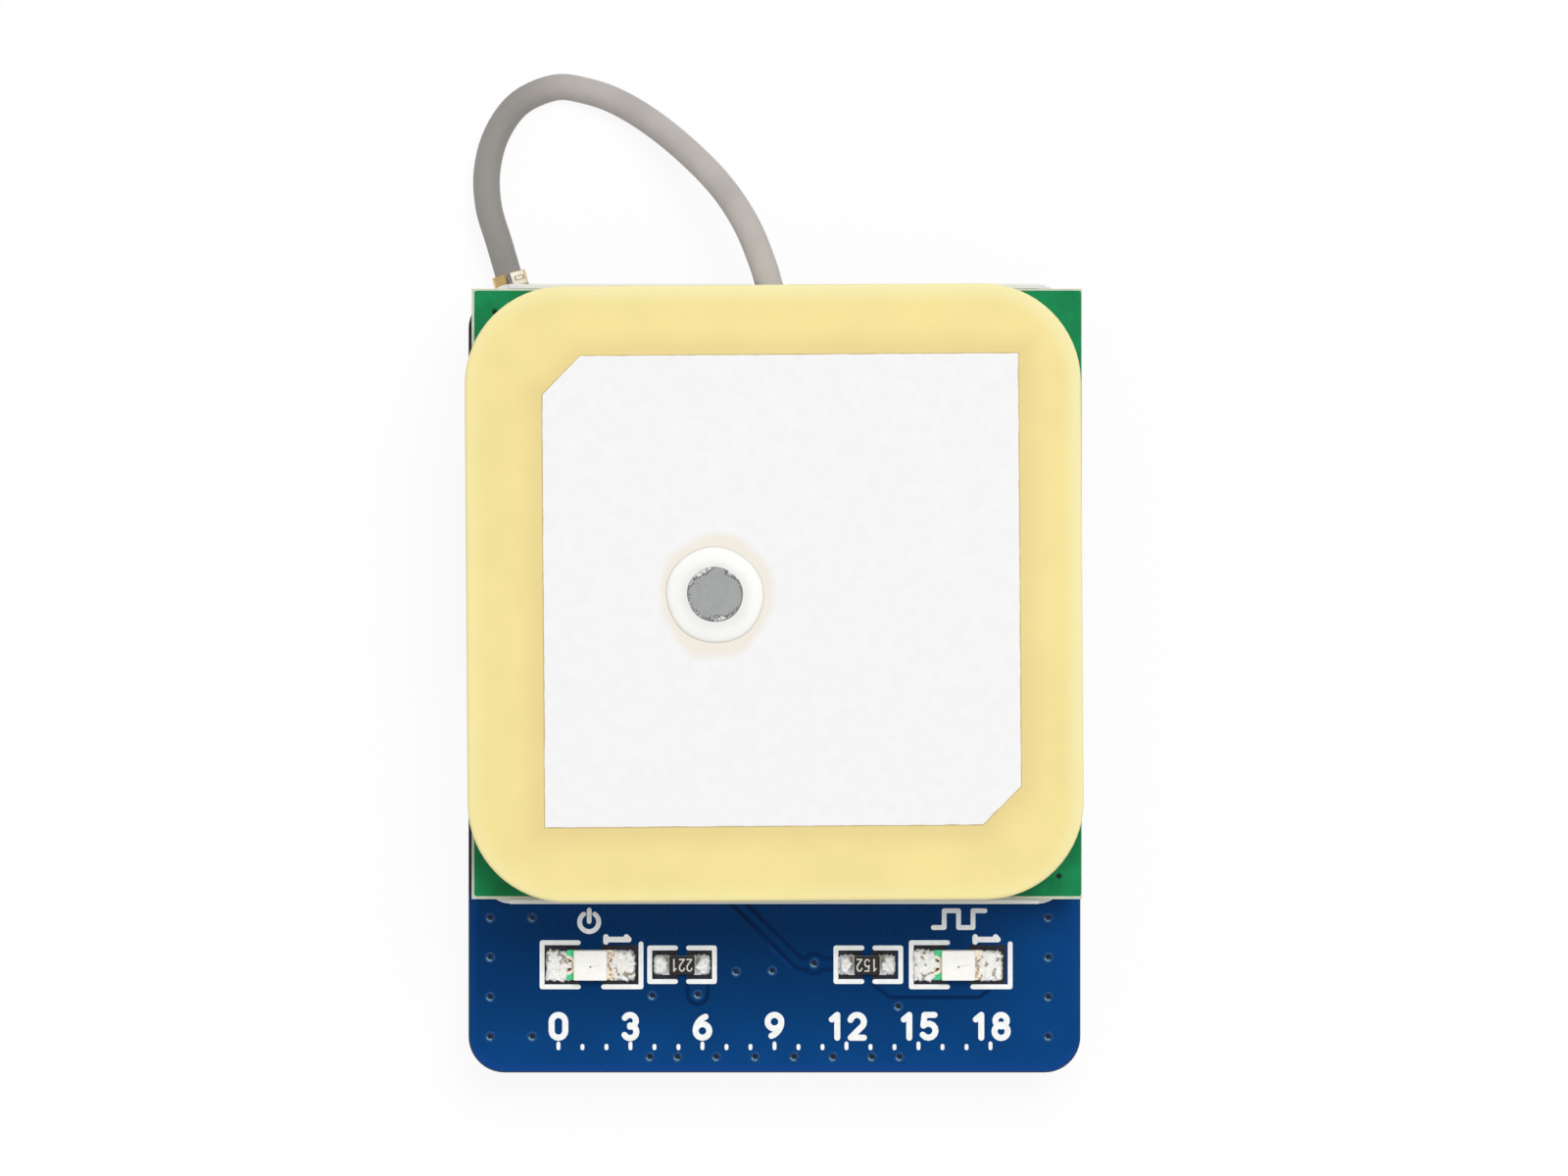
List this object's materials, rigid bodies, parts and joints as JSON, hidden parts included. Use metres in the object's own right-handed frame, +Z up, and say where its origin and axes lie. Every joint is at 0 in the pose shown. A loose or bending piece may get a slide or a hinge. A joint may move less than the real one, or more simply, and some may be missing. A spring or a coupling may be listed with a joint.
{
  "type": "gps module",
  "caption": "Satellite positioning module: ceramic patch antenna on a shielded amplifier, taped to a receiver board and joined to it by a short coaxial lead, with a backup cell and wire socket.",
  "frame": {"origin": "middle of the main board in X and Y, on the plane that the tall rear parts rest on", "axes": "+Z up through the board to the antenna's silver electrode, +Y along the board towards the edge where the lead leaves, +X to the right as seen from the front"},
  "size_m": [0.0254, 0.0419, 0.0141],
  "materials": {
    "board_blue": "blue solder mask on glass laminate",
    "board_green": "green solder mask on glass laminate",
    "ceramic_yellow": "fine fired ceramic, matte",
    "silver_print": "fired silver print, matte",
    "pin_metal": "tinned, dull",
    "solder": "bright solder",
    "tinned_steel": "tinned sheet",
    "tinned_legs": "tinned",
    "gold_plate": "gold plated, bright",
    "contact_metal": "plated spring bronze",
    "cell_steel": "stainless, satin",
    "braid": "tinned copper braid",
    "lead_core": "white inner insulation",
    "lead_grey": "smooth grey jacket",
    "insulator": "moulded",
    "light_base": "thin laminate",
    "light_lens": "milky clear resin",
    "chip_black": "moulded black",
    "chip_tan": "fired",
    "chip_lid": "plated lid",
    "foam": "closed foam tape",
    "adhesive": "clear adhesive film",
    "holder_black": "moulded black",
    "socket_cream": "moulded natural nylon"
  },
  "bodies": {
    "root": {"main_board": "board_blue", "power_light_base": "light_base", "power_light_lens": "light_lens", "pulse_light_base": "light_base", "pulse_light_lens": "light_lens", "power_resistor": "chip_black", "pulse_resistor": "chip_black", "front_solder": "solder", "foam_tape": "foam", "amplifier_shield": "tinned_steel", "antenna_board": "board_green", "amplifier_chip": "chip_black", "band_filter": "chip_lid", "amplifier_chips": "chip_tan", "bond_sheet": "adhesive", "antenna_ceramic": "ceramic_yellow", "patch_electrode": "silver_print", "feed_pin": "pin_metal", "feed_dome": "solder", "feed_cone": "solder", "antenna_lead": "lead_grey", "lead_braid": "braid", "lead_core": "lead_core", "lead_solder": "solder", "plug_shell": "gold_plate", "plug_insulator": "insulator", "plug_contact": "gold_plate", "receptacle_base": "insulator", "receptacle_ring": "gold_plate", "receptacle_pin": "gold_plate", "receiver_board": "board_green", "receiver_shield": "tinned_steel", "receiver_chip": "chip_black", "reference_oscillator": "chip_lid", "regulator_body": "chip_black", "regulator_legs": "tinned_legs", "shifter_bodies": "chip_black", "shifter_legs": "tinned_legs", "rear_capacitors": "chip_tan", "rear_resistors": "chip_black", "cell_holder": "holder_black", "backup_cell": "cell_steel", "cell_lower_contact": "contact_metal", "cell_side_contact": "contact_metal", "socket_housing": "socket_cream", "socket_contacts": "contact_metal", "socket_tabs": "tinned_legs"}
  },
  "joints": []
}
